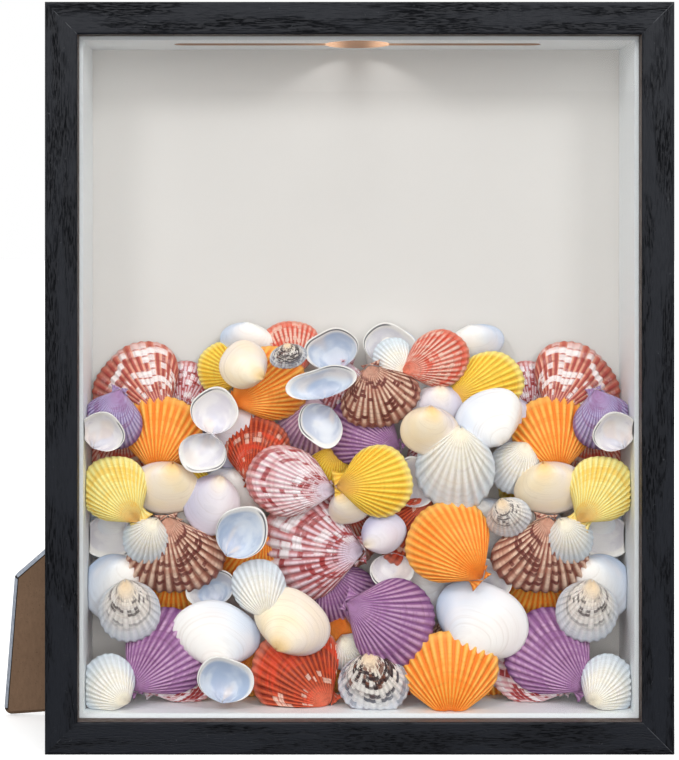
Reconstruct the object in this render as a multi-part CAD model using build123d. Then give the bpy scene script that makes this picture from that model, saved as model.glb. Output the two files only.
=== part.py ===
from build123d import *
import math
import os

# Shadow box: a mitred frame moulding round a deep, white-lined cavity, with a glass front, a back
# panel held by turn buttons, a coin slot and a finger hole in the top rail, and an easel leg.
# X is across, +Y is towards the back, +Z is up. The origin is the centre of the frame's bottom face.

# Frame, in mm
WIDTH = 230.0
HEIGHT = 275.0
DEPTH = 45.0
FACE = 12.0  # width of the moulding, seen from the front
WALL = 10.0  # wall of the moulding behind its lip
LIP = 6.0  # thickness of the lip that holds the glass
EDGE_ROUND = 0.9

# Layers behind the lip, each measured back from the front face
GLASS = 2.0
LINER_DEPTH = 32.0
LINER = 3.0
CARD = 1.5
PANEL = 3.0
PLAY = 0.2  # gap round the sheets that lie in the rebate

# Openings in the top
SLOT_LENGTH = 138.0
SLOT_WIDTH = 7.0
HOLE_DIAMETER = 25.0
TOP_OPENING_FROM_FRONT = 21.5

# Corner nails
NAIL_DEPTH = 10.0
NAIL_FROM_CORNER = (4.5, 9.0)

# Turn buttons and their screws
BUTTON_WIDTH = 9.0
BUTTON_REACH = 11.0
BUTTON_SHEET = 1.0
BUTTON_GAP = 0.1
SCREW = 3.0
SCREW_LENGTH = 12.0
SCREW_HEAD = 6.4
SCREW_HEAD_HEIGHT = 1.5
SCREW_PLAY = 0.05

# Sawtooth hanger
HANGER_LENGTH = 46.0
HANGER_WIDTH = 9.0
HANGER_SHEET = 0.8
HANGER_RISE = 1.6
HANGER_Z = 240.0
RIVET = 3.0
RIVET_HEAD = 5.6
RIVET_HEAD_HEIGHT = 0.9

# Easel leg and its hinge. Along the leg is local X, across it is local Y.
HINGE_X = -19.0
HINGE_Z = 120.2
LEG_LENGTH = 170.0
LEG_SHEET = 3.0
LEG_START = 3.0
LEG_START_HALF = 27.2
LEG_SHOULDER_HALF = 36.0
FOOT_HALF_ANGLE = 40.0
LEG_BEVEL = 1.3
LEG_ROUND = 3.0
PIN = 2.0
PIN_PLAY = 0.05
KNUCKLE = 4.6
KNUCKLE_HALF = 22.0
MIDDLE_HALF = 7.6
KNUCKLE_GAP = 0.4
LEAF_SHEET = 0.8
LEG_OPEN = 4.0  # degrees between the leg and the panel, as the leg stands

# Shells
SHELL_SHARE = 0.72  # a shell's solid core, as a share of the whole shell's spread
LAYER_PITCH = 6.1
LAYER_FIRST = 8.9  # front of the first layer, from the front face
SHELL_RISE = 5.3
CAVITY_HALF = 101.5
CAVITY_FLOOR = 13.5

GLASS_FRONT = LIP
LINER_FRONT = LIP + GLASS
CARD_FRONT = LINER_FRONT + LINER_DEPTH
PANEL_FRONT = CARD_FRONT + CARD
PANEL_BACK = PANEL_FRONT + PANEL
PIN_DEPTH = PANEL_BACK + 2.5
LEG_FRONT = PIN_DEPTH - 1.5

# Every shell in the box: kind, x, z, length from hinge to margin, width, direction of the hinge in
# degrees from +X, layer from the front, and whether a twin lies mirrored on the other side.
SHELLS = (
    ("cockles_speckled", -85, 50, 22, 22, 100, 0, True),
    ("cockles_white", -93, 23, 20, 21, -42, 0, True),
    ("cockles_white", -80, 77, 17, 17, 55, 0, True),
    ("clams_open", -49, 25, 16, 20, -100, 0, False),
    ("clams_cream", -24, 45, 22, 28, -125, 0, False),
    ("cockles_speckled", 4, 23, 22, 25, 90, 0, False),
    ("scallops_orange", 34, 25, 31, 34, -90, 0, False),
    ("scallops_purple", 11, 46, 32, 32, 155, 0, False),
    ("clams_open", -44, 80, 19, 18, -120, 0, False),
    ("scallops_orange", 35, 74, 31, 31, -48, 0, False),
    ("cockles_speckled", 56, 85, 14, 16, 115, 0, False),
    ("cockles_white", 39, 103, 30, 28, 93, 0, False),
    ("clams_cream", -43, 141, 17, 17, -30, 0, False),
    ("clams_cream", 25, 117, 18, 21, 80, 0, False),
    ("cockles_speckled", -26, 145, 9, 13, 100, 0, False),
    ("scallops_yellow", 6, 98, 27, 25, 187, 0, False),
    ("clams_open", -95, 117, 13, 16, -120, 0, True),
    ("scallops_yellow", -90, 94, 26, 24, -52, 0, True),
    ("clams_open", -56, 109, 14, 17, 80, 0, False),
    ("clams_open", -14, 135, 11, 25, -77, 0, False),
    ("clams_white", -51, 40, 23, 31, -100, 1, False),
    ("cockles_white", -37, 58, 21, 19, -72, 1, False),
    ("clams_lilac", -54, 89, 21, 20, 75, 1, False),
    ("scallops_coral", -22, 26, 32, 34, -48, 1, False),
    ("clams_white", 46, 46, 26, 34, -120, 1, False),
    ("scallops_purple", -73, 32, 34, 31, 225, 1, True),
    ("fans_brown", -69, 70, 28, 35, 98, 1, True),
    ("clams_lilac", 10, 77, 16, 15, -160, 1, False),
    ("clams_white", 49, 121, 20, 26, -60, 1, False),
    ("scallops_coral", 29, 143, 25, 20, 198, 1, False),
    ("fans_brown", 8, 130, 22, 29, 108, 1, False),
    ("clams_open", -53, 124, 16, 17, -100, 1, False),
    ("clams_open", -15, 120, 14, 17, 50, 1, False),
    ("scallops_mottled", -25, 97, 32, 25, -12, 1, False),
    ("clams_cream", -4, 88, 13, 16, 120, 1, False),
    ("clams_cream", -71, 95, 19, 25, 80, 1, True),
    ("clams_white", -92, 57, 24, 23, 60, 2, True),
    ("clams_open", -56, 57, 14, 18, -70, 2, False),
    ("clams_open", 50, 60, 14, 18, -110, 2, False),
    ("scallops_mottled", -17, 72, 37, 40, -4, 2, False),
    ("scallops_orange", -74, 114, 28, 29, -97, 2, True),
    ("scallops_mottled", -66, 24, 30, 24, 205, 2, True),
    ("clams_open", 13, 64, 12, 16, 90, 2, False),
    ("scallops_coral", 20, 79, 27, 24, 60, 2, False),
    ("scallops_purple", 3, 115, 28, 25, -25, 2, False),
    ("scallops_coral", -38, 108, 25, 23, -100, 2, False),
    ("clams_lilac", 29, 123, 21, 23, 80, 2, False),
    ("scallops_yellow", 48, 133, 28, 23, 200, 2, False),
    ("cockles_white", 59, 103, 19, 19, 60, 2, False),
    ("cockles_white", 13, 143, 14, 15, -40, 2, False),
    ("scallops_orange", -34, 133, 29, 27, 205, 2, False),
    ("clams_open", 21, 97, 18, 17, -120, 2, False),
    ("clams_white", 58, 26, 18, 18, 60, 3, False),
    ("cockles_white", -2, 32, 15, 15, 120, 2, False),
    ("clams_open", -93, 76, 16, 20, 100, 3, True),
    ("scallops_purple", -92, 121, 22, 22, 75, 1, True),
    ("scallops_mauve", -18, 117, 23, 23, 80, 3, False),
    ("scallops_brick", -83, 132, 30, 34, -48, 3, True),
    ("scallops_yellow", -51, 139, 18, 19, -20, 3, False),
    ("scallops_orange", -70, 56, 26, 31, 90, 3, True),
    ("scallops_orange", -42, 68, 28, 30, 60, 3, False),
    ("scallops_orange", -42, 24, 20, 23, 100, 3, False),
    ("clams_open", -8, 147, 15, 19, -80, 3, False),
    ("clams_open", 13, 148, 15, 19, -100, 3, False),
    ("clams_lilac", -47, 113, 24, 24, 100, 3, False),
    ("scallops_coral", -26, 146, 21, 23, -80, 3, False),
    ("scallops_yellow", -9, 99, 24, 22, 80, 3, False),
    ("clams_white", 27, 58, 26, 26, 90, 3, False),
    ("scallops_orange", -8, 30, 28, 28, 80, 3, False),
    ("fans_brown", 37, 34, 23, 23, 90, 3, False),
    ("clams_white", -42, 150, 13, 19, 80, 3, False),
    ("clams_white", 44, 149, 13, 20, 100, 3, False),
    ("clams_white", -48, 90, 22, 24, 80, 3, False),
    ("scallops_coral", 13, 94, 20, 20, -90, 3, False),
    ("clams_white", 48, 78, 22, 24, 100, 3, False),
    ("scallops_mottled", 30, 106, 20, 20, 90, 3, False),
    ("scallops_purple", -6, 53, 25, 25, 120, 3, False),
    ("clams_white", 22, 133, 15, 17, 60, 3, False),
    ("scallops_mottled", -4, 132, 19, 20, 90, 3, False),
    ("clams_lilac", 60, 118, 20, 20, 90, 3, False),
    ("clams_white", -66, 79, 18, 20, 90, 3, True),
    ("scallops_coral", -24, 76, 24, 24, 90, 3, False),
    ("scallops_mottled", -65, 131, 20, 22, -100, 4, True),
    ("scallops_coral", -5, 75, 26, 26, 90, 4, False),
    ("clams_white", 13, 144, 20, 20, 90, 4, False),
    ("scallops_orange", -48, 20, 26, 26, 90, 4, True),
    ("scallops_coral", 13, 18, 26, 26, 90, 4, False),
    ("scallops_coral", -90, 106, 26, 26, 90, 4, True),
    ("clams_white", -92, 77, 26, 26, 90, 4, True),
    ("scallops_yellow", -69, 94, 26, 26, 90, 4, True),
)


def at_depth(from_front):
    """The y of a plane that lies this far behind the frame's front face."""
    return from_front - DEPTH / 2


def plane_at(from_front):
    """A plane that faces the front, with local X along +X and local Y up."""
    return Plane(origin=(0, at_depth(from_front), 0), x_dir=(1, 0, 0), z_dir=(0, -1, 0))


def slab(outline, front, back):
    """A sketch in X and Z, made solid from one depth to another."""
    return extrude(plane_at(front) * outline, amount=-(back - front))


def rod(x, z, diameter, front, back):
    """A round bar along Y."""
    return slab(Pos(x, z) * Circle(diameter / 2), front, back)


def rail_profile():
    """The moulding's section: X in from the outer edge, Y back from the front face."""
    section = Polygon(
        (0, 0), (FACE, 0), (FACE, LIP), (WALL, LIP), (WALL, DEPTH), (0, DEPTH), align=None
    )
    front_corners = section.vertices().group_by(Axis.Y)[0]
    return fillet(front_corners, EDGE_ROUND)


def horizontal_rail():
    """The bottom rail, mitred at both ends."""
    section_plane = Plane(
        origin=(-WIDTH / 2, at_depth(0), 0), x_dir=(0, 0, 1), z_dir=(-1, 0, 0)
    )
    bar = extrude(section_plane * rail_profile(), amount=-WIDTH)
    wedge = Polygon((-WIDTH / 2, 0), (WIDTH / 2, 0), (0, WIDTH / 2), align=None)
    return bar & slab(wedge, 0, DEPTH)


def upright_rail():
    """The left rail, mitred at both ends."""
    section_plane = Plane(
        origin=(-WIDTH / 2, at_depth(0), 0), x_dir=(1, 0, 0), z_dir=(0, 0, 1)
    )
    bar = extrude(section_plane * rail_profile(), amount=HEIGHT)
    wedge = Polygon(
        (-WIDTH / 2, 0),
        (-WIDTH / 2 + WALL * 2, WALL * 2),
        (-WIDTH / 2 + WALL * 2, HEIGHT - WALL * 2),
        (-WIDTH / 2, HEIGHT),
        align=None,
    )
    return bar & slab(wedge, 0, DEPTH)


def top_openings(bottom, top):
    """The coin slot and the round hole, as one cutter from one height to another."""
    sketch = SlotOverall(SLOT_LENGTH, SLOT_WIDTH) + Circle(HOLE_DIAMETER / 2)
    plane = Plane.XY.offset(bottom)
    return Pos(0, at_depth(TOP_OPENING_FROM_FRONT), 0) * extrude(plane * sketch, amount=top - bottom)


def corner_nails():
    """V nails across each mitre, driven in from the back."""
    half, rise, wall = 2.3, 1.7, 0.5
    outline = Polygon(
        (0, 0), (rise, half), (rise + wall, half), (wall, 0), (rise + wall, -half), (rise, -half), align=None
    )
    nails = []
    for side in (-1, 1):
        for end in (0, 1):
            inward = math.degrees(math.atan2(1 - 2 * end, -side))
            for distance in NAIL_FROM_CORNER:
                corner = Pos(side * WIDTH / 2, end * HEIGHT) * Rot(0, 0, inward) * Pos(distance, 0)
                nails.append(slab(corner * outline, DEPTH - NAIL_DEPTH, DEPTH))
    return nails


def sheet(front, thickness):
    """A sheet that fills the rebate."""
    outline = Rectangle(WIDTH - 2 * WALL - 2 * PLAY, HEIGHT - 2 * WALL - 2 * PLAY)
    return slab(Pos(0, HEIGHT / 2) * outline, front, front + thickness)


def liner_strips():
    """The four white strips that line the cavity."""
    half = WIDTH / 2 - WALL - PLAY
    low, high = WALL + PLAY, HEIGHT - WALL - PLAY

    def strip(x0, x1, z0, z1):
        outline = Pos((x0 + x1) / 2, (z0 + z1) / 2) * Rectangle(x1 - x0, z1 - z0)
        return slab(outline, LINER_FRONT, CARD_FRONT)

    top = strip(-half, half, high - LINER, high) - top_openings(high - 2 * LINER, high + LINER)
    return {
        "liner_top": top,
        "liner_bottom": strip(-half, half, low, low + LINER),
        "liner_left": strip(-half, -half + LINER, low + LINER, high - LINER),
        "liner_right": strip(half - LINER, half, low + LINER, high - LINER),
    }


# Where each turn button's screw stands: x, z and the direction in which the button reaches
BUTTON_PLACES = (
    (-WIDTH / 2 + WALL / 2, 112, 0),
    (-WIDTH / 2 + WALL / 2, 205, 0),
    (0, HEIGHT - WALL / 2, -90),
    (WIDTH / 2 - WALL / 2, 205, 180),
    (WIDTH / 2 - WALL / 2, 112, 180),
    (45, WALL / 2, 90),
)


def turn_button(x, z, direction):
    """A round-ended sheet-metal tab that turns on its screw."""
    tab = Pos(BUTTON_REACH / 2, 0) * SlotCenterToCenter(BUTTON_REACH, BUTTON_WIDTH)
    tab -= Circle(SCREW / 2 + SCREW_PLAY)
    front = DEPTH + BUTTON_GAP
    body = slab(Pos(x, z) * Rot(0, 0, direction) * tab, front, front + BUTTON_SHEET)
    back_edges = body.edges().group_by(Axis.Y)[-1]
    rim = [e for e in back_edges if e.geom_type == GeomType.LINE or e.radius > SCREW]
    return fillet(rim, 0.4)


def button_screw(x, z):
    """A pan-head cross-recess wood screw."""
    head_front = DEPTH + BUTTON_SHEET + 2 * BUTTON_GAP
    head_back = head_front + SCREW_HEAD_HEIGHT
    head = rod(x, z, SCREW_HEAD, head_front, head_back)
    head = fillet(head.edges().group_by(Axis.Y)[-1], 0.9)
    cross = Rectangle(3.2, 0.7) + Rectangle(0.7, 3.2)
    head -= slab(Pos(x, z) * cross, head_back - 0.8, head_back + 1)
    return head + rod(x, z, SCREW, DEPTH - SCREW_LENGTH, head_front)


def rivet(x, z, front, back):
    """A rivet with a domed head behind `back`, flush in front."""
    head = rod(x, z, RIVET_HEAD, back, back + RIVET_HEAD_HEIGHT)
    head = fillet(head.edges().group_by(Axis.Y)[-1], 0.6)
    return head + rod(x, z, RIVET, front, back)


def sawtooth_hanger():
    """A bent strip with teeth along its lower edge and a foot at each end."""
    half, foot = HANGER_LENGTH / 2, 8.0
    s, r = HANGER_SHEET, HANGER_RISE
    outer = [(-half, 0), (-half + foot, 0), (-half + foot + 2, r), (half - foot - 2, r), (half - foot, 0), (half, 0)]
    inner = [(x, y + s) for x, y in reversed(outer)]
    section = Polygon(*outer, *inner, align=None)
    plane = Plane(origin=(0, at_depth(PANEL_BACK), HANGER_Z), x_dir=(1, 0, 0), z_dir=(0, 0, 1))
    strip = extrude(plane * section, amount=HANGER_WIDTH)
    for index in range(-6, 7):
        notch = Polygon((-1.0, 0), (1.0, 0), (0, 1.6), align=None)
        strip -= slab(Pos(index * 2.0, HANGER_Z) * notch, PANEL_BACK, PANEL_BACK + 4)
    for side in (-1, 1):
        strip -= rod(side * (half - foot / 2), HANGER_Z + HANGER_WIDTH / 2, RIVET, PANEL_BACK, PANEL_BACK + 4)
    return strip


def hanger_rivets():
    """The hanger's two rivets, through the panel."""
    reach = HANGER_LENGTH / 2 - 4.0
    z = HANGER_Z + HANGER_WIDTH / 2
    return [rivet(side * reach, z, PANEL_FRONT, PANEL_BACK + HANGER_SHEET) for side in (-1, 1)]


# The leg's frame: local X runs from the hinge to the foot, local Y across to the upper left, and
# local Z to the back.
LEG_PLANE = Plane(origin=(HINGE_X, at_depth(0), HINGE_Z), x_dir=(-1, 0, -1), z_dir=(0, 1, 0))


def leg_slab(outline, front, back):
    """A sketch in the leg's frame, made solid from one depth to another."""
    return extrude(Plane.XY.offset(front) * outline, amount=back - front)


def leg_rod(along, across, diameter, front, back):
    """A round bar through the leg's thickness."""
    return leg_slab(Pos(along, across) * Circle(diameter / 2), front, back)


def knuckle(start, end, bore):
    """A length of hinge barrel along local Y, with its bore."""
    barrel = Plane(origin=(0, start, PIN_DEPTH), x_dir=(1, 0, 0), z_dir=(0, 1, 0))
    ring = Circle(KNUCKLE / 2) - Circle(bore / 2)
    return extrude(barrel * ring, amount=end - start)


def leg_rivet(along, across, front, back):
    """A rivet through leg or panel, in the leg's frame."""
    head = leg_rod(along, across, RIVET_HEAD, back, back + RIVET_HEAD_HEIGHT)
    head = fillet(head.edges().group_by(Axis.Z)[-1], 0.6)
    return head + leg_rod(along, across, RIVET, front, back)


FIXED_RIVETS = ((-10.0, -15.0), (-10.0, 0.0), (-10.0, 15.0))
MOVING_RIVETS = ((11.0, -8.0), (11.0, 8.0), (20.0, 0.0))


def fixed_leaf():
    """The hinge leaf on the back panel, with the two outer knuckles."""
    plate = Polygon(
        (-16, -KNUCKLE_HALF), (0, -KNUCKLE_HALF), (0, KNUCKLE_HALF), (-16, KNUCKLE_HALF), align=None
    )
    plate -= Pos(0, 0) * Rectangle(KNUCKLE + 1.2, 2 * (MIDDLE_HALF + KNUCKLE_GAP))
    leaf = leg_slab(plate, PANEL_BACK, PANEL_BACK + LEAF_SHEET)
    inner = MIDDLE_HALF + KNUCKLE_GAP
    barrel = leg_slab(
        Pos(-1, inner + 7) * Rectangle(2, 14) + Pos(-1, -inner - 7) * Rectangle(2, 14),
        PANEL_BACK,
        PANEL_BACK + LEAF_SHEET,
    )
    leaf += barrel
    leaf += knuckle(-KNUCKLE_HALF, -inner, PIN) + knuckle(inner, KNUCKLE_HALF, PIN)
    leaf -= leg_slab(Rectangle(60, 60), PANEL_BACK - 5, PANEL_BACK)
    for along, across in FIXED_RIVETS:
        leaf -= leg_rod(along, across, RIVET, PANEL_BACK - 1, PANEL_BACK + 3)
    return leaf


def moving_leaf():
    """The hinge leaf on the leg's back, with the middle knuckle, laid flat."""
    top = LEG_FRONT + LEG_SHEET
    neck = Pos(LEG_START, 0) * Rectangle(2 * LEG_START, 2 * MIDDLE_HALF)
    plate = Pos(15, 0) * Rectangle(22, 26)
    plate = fillet(plate.vertices().group_by(Axis.X)[-1], 6.0)
    leaf = leg_slab(neck + plate, top, top + LEAF_SHEET)
    leaf += knuckle(-MIDDLE_HALF, MIDDLE_HALF, PIN + 2 * PIN_PLAY)
    bore = Plane(origin=(0, -20, PIN_DEPTH), x_dir=(1, 0, 0), z_dir=(0, 1, 0))
    leaf -= extrude(bore * Circle(PIN / 2 + PIN_PLAY), amount=40)
    for along, across in MOVING_RIVETS:
        leaf -= leg_rod(along, across, RIVET, top - 1, top + 3)
    return leaf


def easel_leg():
    """The two-way strut, laid flat: a bar that widens to a square-cut foot."""
    shoulder = LEG_LENGTH - LEG_SHOULDER_HALF / math.tan(math.radians(FOOT_HALF_ANGLE))
    outline = Polygon(
        (LEG_START, -LEG_START_HALF),
        (shoulder, -LEG_SHOULDER_HALF),
        (LEG_LENGTH, 0),
        (shoulder, LEG_SHOULDER_HALF),
        (LEG_START, LEG_START_HALF),
        align=None,
    )
    outline = fillet(outline.vertices(), LEG_ROUND)
    leg = leg_slab(outline, LEG_FRONT, LEG_FRONT + LEG_SHEET)
    front_edges = leg.edges().group_by(Axis.Z)[0]
    upper = [e for e in front_edges if e.center().Y > LEG_START_HALF / 2 and e.center().X > 2 * LEG_START]
    leg = chamfer(upper, 0.9, LEG_BEVEL)
    for along, across in MOVING_RIVETS:
        leg -= leg_rod(along, across, RIVET, LEG_FRONT - 1, LEG_FRONT + 9)
    return leg


def place_leg(shape, opened=True):
    """Turn a piece about the hinge pin to where the leg stands, and put it on the panel."""
    turn = -LEG_OPEN if opened else 0
    return LEG_PLANE * Pos(0, 0, PIN_DEPTH) * Rot(0, turn, 0) * Pos(0, 0, -PIN_DEPTH) * shape


def shell_outline(length, width):
    """A fan with a short hinge line at +X."""
    hinge = 0.9
    return Polygon(
        (length * 0.5, -hinge),
        (length * 0.5, hinge),
        (length * 0.12, width * 0.42),
        (-length * 0.2, width * 0.5),
        (-length * 0.5, width * 0.26),
        (-length * 0.5, -width * 0.26),
        (-length * 0.2, -width * 0.5),
        (length * 0.12, -width * 0.42),
        align=None,
    )


def shell(x, z, length, width, direction, layer):
    """One shell as a closed faceted dome, its margin to the back, inside its own layer."""
    long, wide = length * SHELL_SHARE, width * SHELL_SHARE
    rise = min(SHELL_RISE, 0.36 * min(long, wide) + 1.6)
    reach = max(long, wide) / 2
    x = max(-CAVITY_HALF + reach, min(CAVITY_HALF - reach, x))
    z = max(CAVITY_FLOOR + reach, z)
    back = LAYER_FIRST + layer * LAYER_PITCH + SHELL_RISE
    place = Pos(x, z) * Rot(0, 0, direction)
    rim = plane_at(back) * place * shell_outline(long, wide)
    crown = plane_at(back - rise) * place * scale(shell_outline(long, wide), 0.5)
    return loft([rim, crown], ruled=True)


def shell_groups():
    """The shells of each kind, with their mirrored twins."""
    groups = {}
    for kind, x, z, length, width, direction, layer, twin in SHELLS:
        group = groups.setdefault("shells_" + kind, [])
        group.append(shell(x, z, length, width, direction, layer))
        if twin:
            group.append(shell(-x, z, length, width, 180 - direction, layer))
    return groups


def build():
    """Every node, by name."""
    nails = corner_nails()
    screws = [button_screw(x, z) for x, z, _ in BUTTON_PLACES]
    bottom = horizontal_rail()
    top = mirror(bottom, about=Plane.XY.offset(HEIGHT / 2))
    top -= top_openings(HEIGHT - 2 * FACE, HEIGHT + 1)
    left = upright_rail()
    right = mirror(left, about=Plane.YZ)
    rails = {
        "frame_rail_top": top,
        "frame_rail_bottom": bottom,
        "frame_rail_left": left,
        "frame_rail_right": right,
    }
    for name, rail in rails.items():
        for cutter in nails + screws:
            rail = rail - cutter
        rails[name] = rail

    panel = sheet(PANEL_FRONT, PANEL)
    for cutter in hanger_rivets():
        panel -= cutter
    panel_rivets = [
        place_leg(leg_rivet(a, b, PANEL_FRONT, PANEL_BACK + LEAF_SHEET), opened=False)
        for a, b in FIXED_RIVETS
    ]
    for cutter in panel_rivets:
        panel -= cutter
    leg_back = LEG_FRONT + LEG_SHEET
    leg_rivets = [place_leg(leg_rivet(a, b, LEG_FRONT, leg_back + LEAF_SHEET)) for a, b in MOVING_RIVETS]
    pin = extrude(
        Plane(origin=(0, -KNUCKLE_HALF - 0.5, PIN_DEPTH), x_dir=(1, 0, 0), z_dir=(0, 1, 0)) * Circle(PIN / 2),
        amount=2 * KNUCKLE_HALF + 1,
    )

    nodes = dict(rails)
    nodes.update(liner_strips())
    nodes["corner_v_nails"] = Compound(children=nails)
    nodes["glass_pane"] = sheet(GLASS_FRONT, GLASS)
    nodes["backing_card"] = sheet(CARD_FRONT, CARD)
    nodes["back_panel"] = panel
    for index, (x, z, direction) in enumerate(BUTTON_PLACES, start=1):
        nodes[f"turn_button_{index}"] = turn_button(x, z, direction)
    nodes["turn_button_screws"] = Compound(children=screws)
    nodes["sawtooth_hanger"] = sawtooth_hanger()
    nodes["hanger_rivets"] = Compound(children=hanger_rivets())
    nodes["leg_hinge_fixed_leaf"] = place_leg(fixed_leaf(), opened=False)
    nodes["leg_hinge_moving_leaf"] = place_leg(moving_leaf())
    nodes["leg_hinge_pin"] = place_leg(pin, opened=False)
    nodes["panel_rivets"] = Compound(children=panel_rivets)
    nodes["leg_rivets"] = Compound(children=leg_rivets)
    nodes["easel_leg"] = place_leg(easel_leg())
    for name, solids in shell_groups().items():
        nodes[name] = Compound(children=solids)
    return nodes


def main():
    os.makedirs("parts", exist_ok=True)
    for name, node in build().items():
        export_step(node, f"parts/{name}.step")


main()
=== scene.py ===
import math

import bpy
import numpy as np
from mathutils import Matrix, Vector


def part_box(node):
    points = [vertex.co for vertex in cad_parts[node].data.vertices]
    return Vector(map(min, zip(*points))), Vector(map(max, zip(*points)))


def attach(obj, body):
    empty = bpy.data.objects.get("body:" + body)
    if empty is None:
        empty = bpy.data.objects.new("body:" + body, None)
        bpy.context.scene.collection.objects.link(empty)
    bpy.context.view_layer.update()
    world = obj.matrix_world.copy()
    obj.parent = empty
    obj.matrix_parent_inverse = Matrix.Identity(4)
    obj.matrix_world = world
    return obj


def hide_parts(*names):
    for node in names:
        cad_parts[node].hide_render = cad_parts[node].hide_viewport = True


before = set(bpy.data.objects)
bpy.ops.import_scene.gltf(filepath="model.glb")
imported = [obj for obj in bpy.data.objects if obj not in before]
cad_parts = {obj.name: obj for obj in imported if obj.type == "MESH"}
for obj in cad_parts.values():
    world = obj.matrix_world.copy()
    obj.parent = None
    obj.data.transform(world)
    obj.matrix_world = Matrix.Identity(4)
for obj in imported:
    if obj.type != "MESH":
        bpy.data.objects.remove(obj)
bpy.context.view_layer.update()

MM = 0.001

# Driving places, all from the frame
RAIL_LOW, RAIL_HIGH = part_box("frame_rail_left")
FRONT = RAIL_LOW.y
TOP = RAIL_HIGH.z
RAIL_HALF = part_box("frame_rail_right")[1].x
FACE = 12 * MM  # width of the moulding's front face
GLASS_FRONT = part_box("glass_pane")[0].y
CAVITY_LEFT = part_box("liner_left")[1].x
CAVITY_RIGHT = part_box("liner_right")[0].x
CAVITY_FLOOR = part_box("liner_bottom")[1].z
CAVITY_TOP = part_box("liner_top")[0].z
GLASS_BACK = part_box("glass_pane")[1].y
CARD_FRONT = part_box("backing_card")[0].y
OPENING_Y = FRONT + 21.5 * MM  # middle of the coin slot and the round hole
HOLE_RADIUS = 12.5 * MM

# A solid core in the frame is this share of the shell drawn over it
SHELL_SHARE = 0.67

# How each kind of shell is formed. Waist narrows the hinge end, rib is the rib height as a share of the rib
# spacing, dome is the height as a share of the shell, and peak sets how far from the hinge the height comes. Ears
# is the size of the wings, wave how uneven the outline is, and lift how far forward the shell stands.
FORM_FIELDS = ("waist", "ribs", "rib", "dome", "peak", "ears", "wave", "lift")
FORM_ROWS = {
    "scallop": (0.76, 23, 0.24, 0.21, 0.72, 0.62, 1.0, 0.0),
    "winged": (0.76, 23, 0.24, 0.21, 0.72, 0.85, 1.0, 1.2 * MM),
    "fan": (0.74, 19, 0.34, 0.22, 0.75, 0.55, 1.0, 0.8 * MM),
    "cockle": (0.92, 21, 0.22, 0.34, 0.55, 0.0, 1.0, 2.6 * MM),
    "clam": (0.96, 0, 0.0, 0.30, 0.52, 0.0, 1.3, 2.0 * MM),
    "open": (0.94, 0, 0.0, 0.40, 0.60, 0.0, 2.6, 1.0 * MM),
}
FORMS = {name: dict(zip(FORM_FIELDS, row)) for name, row in FORM_ROWS.items()}
SAMPLES_PER_RIB = 5
ROWS = 20
SMOOTH_COLUMNS = 56
SHELL_THICKNESS = 0.9 * MM
TALLEST_DOME = 6.2 * MM
LARGEST_TILT = math.radians(6)
EAR_RIBS = 23

# Room kept between the shells and what is round them
GLASS_ROOM = 0.35 * MM
CARD_ROOM = 0.3 * MM
WALL_ROOM = 0.2 * MM

# Where the picture is taken from
VIEW_X = -25.4 * MM
VIEW_DISTANCE = 671 * MM
VIEW_HEIGHT = 182.5 * MM


# ---------------------------------------------------------------- node helpers


def srgb(red, green, blue):
    """A colour given as 0 to 255 on screen, in the shader's linear numbers."""
    made = []
    for value in (red, green, blue):
        v = value / 255
        made.append(v / 12.92 if v <= 0.04045 else ((v + 0.055) / 1.055) ** 2.4)
    return (*made, 1.0)


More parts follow.
